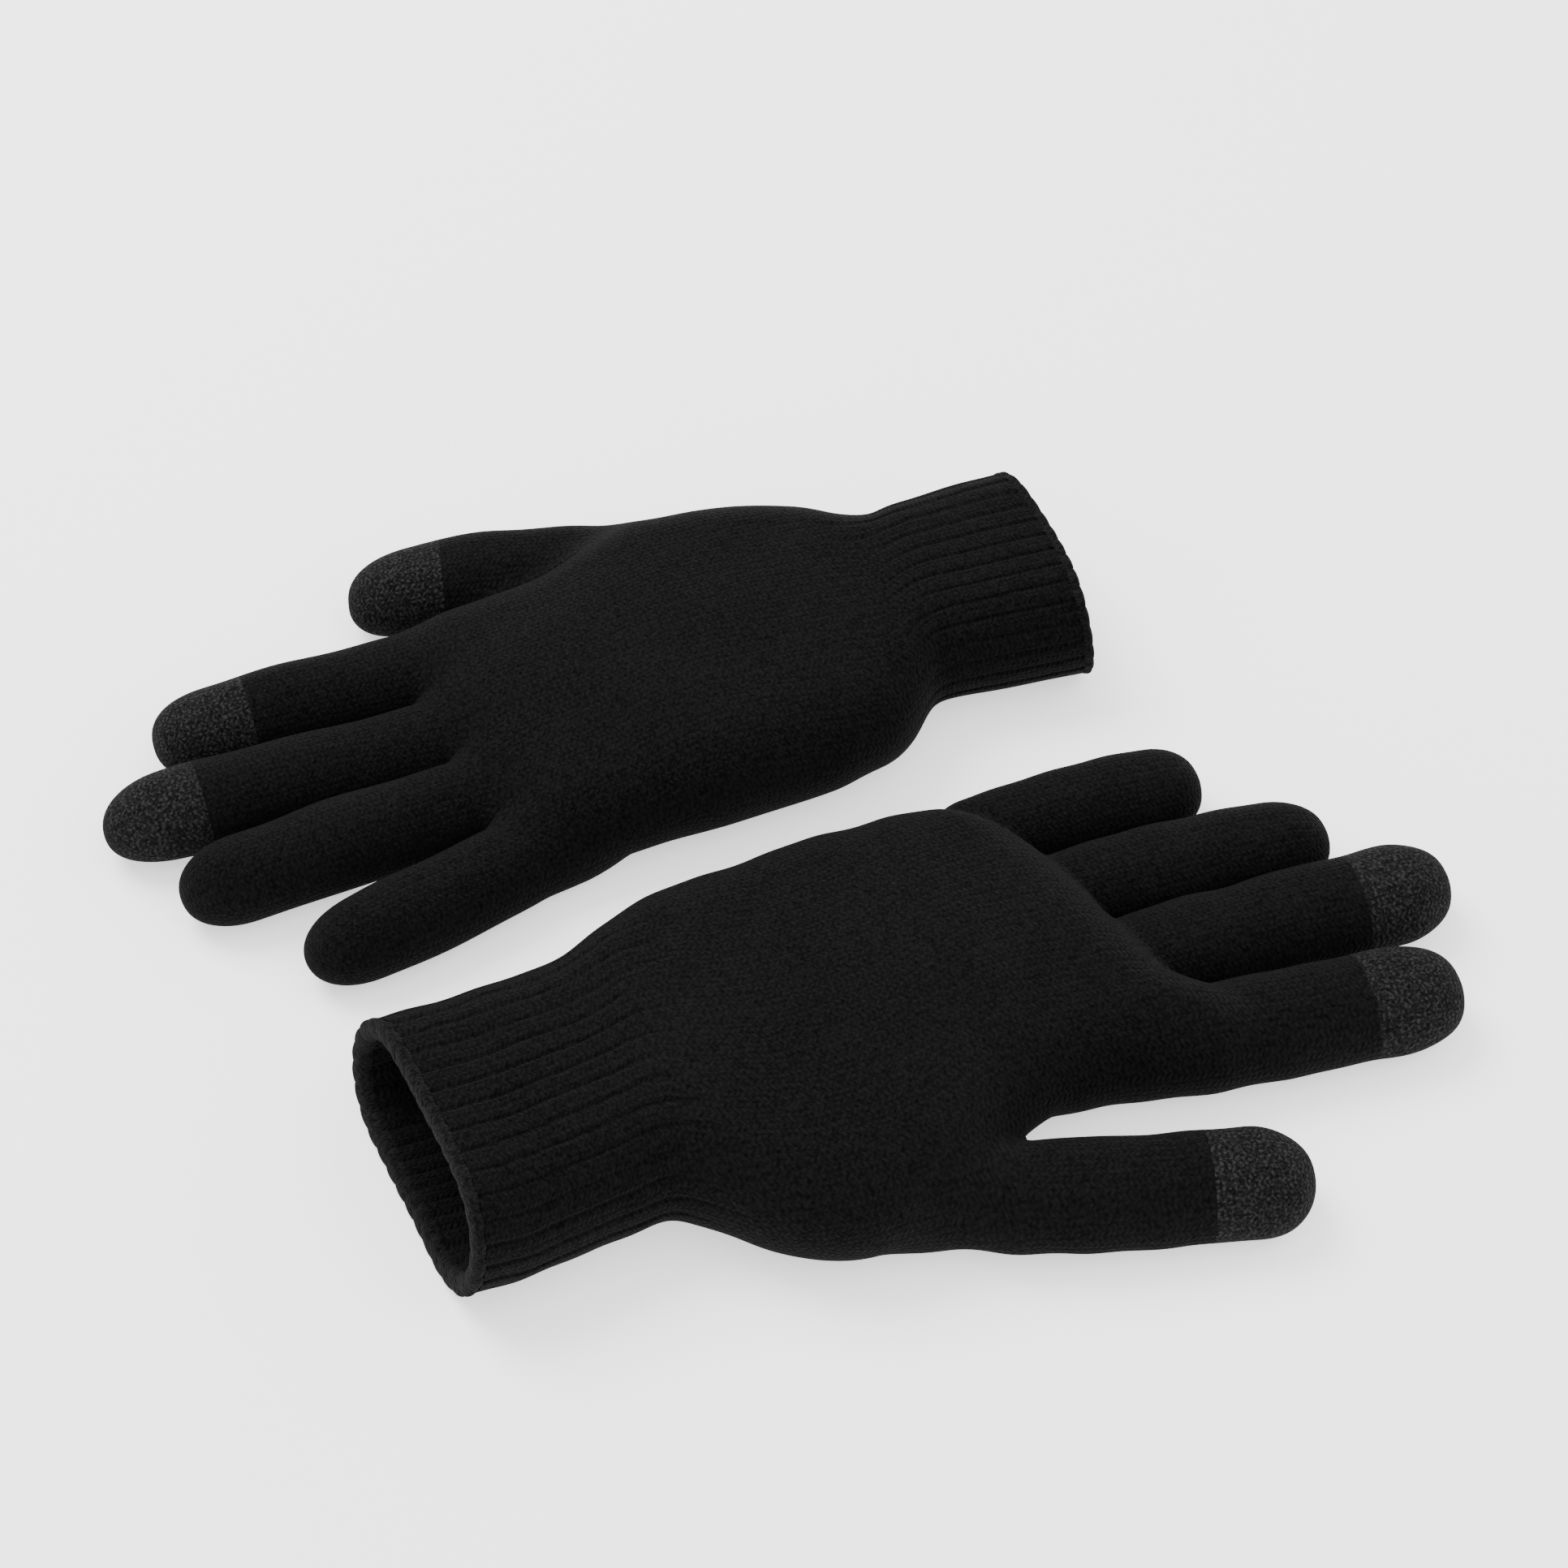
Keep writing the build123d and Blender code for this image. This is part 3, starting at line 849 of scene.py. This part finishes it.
def make_threads(glove, material):
    """Elastic threads, laid in rings inside the cuff's doubled knit."""
    points, faces = [], []
    for place in np.linspace(glove.cuff_end + THREAD_FIRST, THREAD_LAST, THREAD_RINGS):
        rings = []
        for turn in np.linspace(0, 2 * pi, THREAD_SIDES, endpoint=False):
            centres, ways = cuff_rays(glove, place + THREAD_ROUND * sin(turn))
            level = -THREAD_DEPTH + THREAD_ROUND * cos(turn)
            rings.append(lean(glove, march(glove.lining, centres, ways, level, CUFF_REACH)))
        rings.append(rings[0])
        faces.append(ring_faces(len(rings), len(ways)) + sum(len(p) for p in points))
        points.append(np.concatenate(rings))
    points = np.concatenate(points)
    stitch = np.zeros((len(points), 3))
    name = f"{glove.side}_cuff_threads"
    piece = make_piece(name, glove, points, np.concatenate(faces), None, stitch, material, "elastic")
    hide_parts(f"{glove.side}_cuff_elastic")
    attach(piece, f"{glove.side}_wrist")


class Shader:
    """Short calls for building one material's nodes."""

    def __init__(self, name):
        self.material = bpy.data.materials.new(name)
        self.material.use_nodes = True
        self.nodes = self.material.node_tree.nodes
        self.links = self.material.node_tree.links
        self.surface = self.nodes["Principled BSDF"]

    def put(self, socket, value):
        """Give a socket a link from another node, or a plain value."""
        if isinstance(value, bpy.types.NodeSocket):
            self.links.new(value, socket)
        else:
            socket.default_value = value

    def math(self, operation, a, b=None, clamp=False):
        node = self.nodes.new("ShaderNodeMath")
        node.operation = operation
        node.use_clamp = clamp
        self.put(node.inputs[0], a)
        if b is not None:
            self.put(node.inputs[1], b)
        return node.outputs[0]

    def swing(self, value, size):
        """A value's distance from 0.5, times size."""
        return self.math("MULTIPLY", self.math("SUBTRACT", value, 0.5), size)

    def noise(self, vector, scale, detail):
        node = self.nodes.new("ShaderNodeTexNoise")
        self.put(node.inputs["Vector"], vector)
        node.inputs["Scale"].default_value = scale
        node.inputs["Detail"].default_value = detail
        return node.outputs["Fac"]

    def ramp(self, value, stops):
        node = self.nodes.new("ShaderNodeValToRGB")
        self.put(node.inputs[0], value)
        while len(node.color_ramp.elements) < len(stops):
            node.color_ramp.elements.new(0.5)
        for element, (place, level) in zip(node.color_ramp.elements, stops):
            element.position = place
            element.color = (level, level, level, 1)
        return node.outputs[0]

    def mix(self, share, a, b):
        node = self.nodes.new("ShaderNodeMix")
        node.data_type = "RGBA"
        self.put(node.inputs[0], share)
        self.put(node.inputs[6], a)
        self.put(node.inputs[7], b)
        return node.outputs[2]

    def bump(self, height, distance, strength, normal=None):
        node = self.nodes.new("ShaderNodeBump")
        self.put(node.inputs["Height"], height)
        node.inputs["Distance"].default_value = distance
        node.inputs["Strength"].default_value = strength
        if normal is not None:
            self.links.new(normal, node.inputs["Normal"])
        return node.outputs[0]


def knit_material(name, tones_and_shade, speckle=0.0, wale=WALE, course=COURSE):
    """Stockinette knit: columns of slanted yarn loops with a soft fuzz, and light flecks if speckled."""
    s = Shader(name)
    stitch = s.nodes.new("ShaderNodeAttribute")
    stitch.attribute_name = "stitch"
    split = s.nodes.new("ShaderNodeSeparateXYZ")
    s.links.new(stitch.outputs["Vector"], split.inputs[0])
    where = s.nodes.new("ShaderNodeTexCoord").outputs["Object"]
    wander = s.noise(where, 260, 2)
    fuzz = s.noise(where, 2600, 3)
    grain = s.noise(where, 1150, 2)
    cloud = s.noise(where, 38, 3)

    # Each column of knit has two slanted sides of yarn, and each course crosses them as one ridge
    u = s.math("DIVIDE", s.math("ADD", split.outputs[0], s.swing(wander, 1.6)), wale)
    v = s.math("DIVIDE", s.math("ADD", split.outputs[1], s.swing(wander, 0.9)), course)
    side = s.math("MULTIPLY", s.math("ABSOLUTE", s.math("SUBTRACT", s.math("FRACT", u), 0.5)), 2.0)
    turn = s.math("FRACT", s.math("ADD", v, s.math("MULTIPLY", side, 0.62)))
    yarn = s.math("SINE", s.math("MULTIPLY", turn, pi))
    across = s.math("SINE", s.math("MULTIPLY", s.math("ADD", s.math("MULTIPLY", side, 0.86), 0.07), pi))
    loops = s.math("MULTIPLY", s.math("POWER", yarn, 0.8), s.math("POWER", across, 0.55))

    # The loops' height makes the colour darker between the loops as painted shade and lighter on their tops
    # as painted light; grain and cloud add the yarn's own random tone
    tone_and_shade = s.math("ADD", s.math("MULTIPLY", loops, 0.36), s.math("ADD", s.swing(grain, 2.2), 0.32))
    tone_and_shade = s.math("ADD", tone_and_shade, s.swing(cloud, 0.5), clamp=True)
    colour = s.mix(tone_and_shade, *tones_and_shade)
    if speckle:
        flecks = s.ramp(s.noise(where, 1700, 2), [(0.47, 0.0), (0.60, 1.0)])
        # The flecks are paler on the loop tops and dimmer between the loops, as painted shade
        flecks = s.math("MULTIPLY", flecks, s.math("ADD", s.math("MULTIPLY", loops, 0.75), 0.25))
        colour = s.mix(s.math("MULTIPLY", flecks, speckle), colour, FLECK_TONE)
    else:
        lint = s.ramp(s.noise(where, 620, 1), [(0.80, 0.0), (0.84, 1.0)])
        colour = s.mix(s.math("MULTIPLY", lint, 0.3), colour, LINT_TONE)
    s.put(s.surface.inputs["Base Color"], colour)
    s.put(s.surface.inputs["Roughness"], s.math("ADD", s.math("MULTIPLY", fuzz, 0.15), 0.8))
    s.surface.inputs["Specular IOR Level"].default_value = 0.02
    s.surface.inputs["Sheen Weight"].default_value = 0.015
    s.surface.inputs["Sheen Roughness"].default_value = 0.5

    height = s.math("ADD", s.math("MULTIPLY", loops, 0.75), s.math("MULTIPLY", grain, 0.5))
    fuzzy = s.bump(fuzz, 0.00018, 0.7)
    s.links.new(s.bump(height, KNIT_DEPTH * MM, 0.9, fuzzy), s.surface.inputs["Normal"])
    return s.material


def elastic_material():
    """Covered rubber thread: dark, with a fine twist."""
    s = Shader("covered_elastic")
    twist = s.nodes.new("ShaderNodeTexWave")
    s.put(twist.inputs["Vector"], s.nodes.new("ShaderNodeTexCoord").outputs["Object"])
    twist.inputs["Scale"].default_value = 900
    s.put(s.surface.inputs["Base Color"], s.mix(twist.outputs["Fac"], *THREAD_TONES))
    s.surface.inputs["Roughness"].default_value = 0.6
    s.links.new(s.bump(twist.outputs["Fac"], 0.0001, 0.6), s.surface.inputs["Normal"])
    return s.material


def make_camera():
    """The camera looks down at the pair from in front and a little to the left."""
    azimuth, elevation = radians(AZIMUTH), radians(ELEVATION)
    middle = (CAD_LOW + CAD_HIGH) / 2
    aim = Vector((middle.x + AIM_SHIFT[0], middle.y + AIM_SHIFT[1], 0.0))
    back = Vector((sin(azimuth) * cos(elevation), -cos(azimuth) * cos(elevation), sin(elevation)))
    data = bpy.data.cameras.new("camera")
    data.lens = LENS
    data.sensor_width = SENSOR
    camera = bpy.data.objects.new("camera", data)
    camera.location = aim + back * DISTANCE
    camera.rotation_mode = "QUATERNION"
    camera.rotation_quaternion = (-back).to_track_quat("-Z", "Y")
    bpy.context.scene.collection.objects.link(camera)
    bpy.context.scene.camera = camera


def make_stage():
    """A pale floor, a soft key light from the back left, a weak fill light and an even surround."""
    mesh = bpy.data.meshes.new("floor")
    corners = [(-1, -1), (1, -1), (1, 1), (-1, 1)]
    mesh.from_pydata([(x * FLOOR_REACH, y * FLOOR_REACH, 0) for x, y in corners], [], [(0, 1, 2, 3)])
    floor = bpy.data.objects.new("floor", mesh)
    bpy.context.scene.collection.objects.link(floor)
    s = Shader("pale_floor")
    s.surface.inputs["Base Color"].default_value = (0.93, 0.93, 0.93, 1)
    s.surface.inputs["Roughness"].default_value = 0.9
    s.surface.inputs["Specular IOR Level"].default_value = 0.1
    s.surface.inputs["Emission Color"].default_value = (1, 1, 1, 1)
    s.surface.inputs["Emission Strength"].default_value = FLOOR_GLOW
    mesh.materials.append(s.material)

    world = bpy.data.worlds.new("surround")
    world.use_nodes = True
    background = world.node_tree.nodes["Background"]
    background.inputs["Color"].default_value = (1, 1, 1, 1)
    background.inputs["Strength"].default_value = SURROUND
    bpy.context.scene.world = world

    for name, place, size, power in LIGHTS:
        data = bpy.data.lights.new(name, "AREA")
        data.shape = "DISK"
        data.size = size
        data.energy = power
        light = bpy.data.objects.new(name, data)
        light.location = place
        light.rotation_mode = "QUATERNION"
        light.rotation_quaternion = (-Vector(place)).to_track_quat("-Z", "Y")
        bpy.context.scene.collection.objects.link(light)


def main():
    make_camera()
    make_stage()
    plain = knit_material("black_knit", BODY_TONES_AND_SHADE)
    ribbed = knit_material("black_rib_knit", BODY_TONES_AND_SHADE)
    edge = knit_material("overlocked_edge", EDGE_TONES_AND_SHADE, wale=EDGE_STITCH, course=EDGE_STITCH)
    touch = knit_material("touch_knit", TOUCH_TONES_AND_SHADE, speckle=0.75)
    elastic = elastic_material()
    for plan in (RIGHT, LEFT):
        glove = Glove(plan)
        make_hand(glove, plain)
        make_cuff(glove, ribbed, edge)
        for finger in glove.fingers.values():
            make_finger(glove, finger, plain, touch)
        make_threads(glove, elastic)


main()
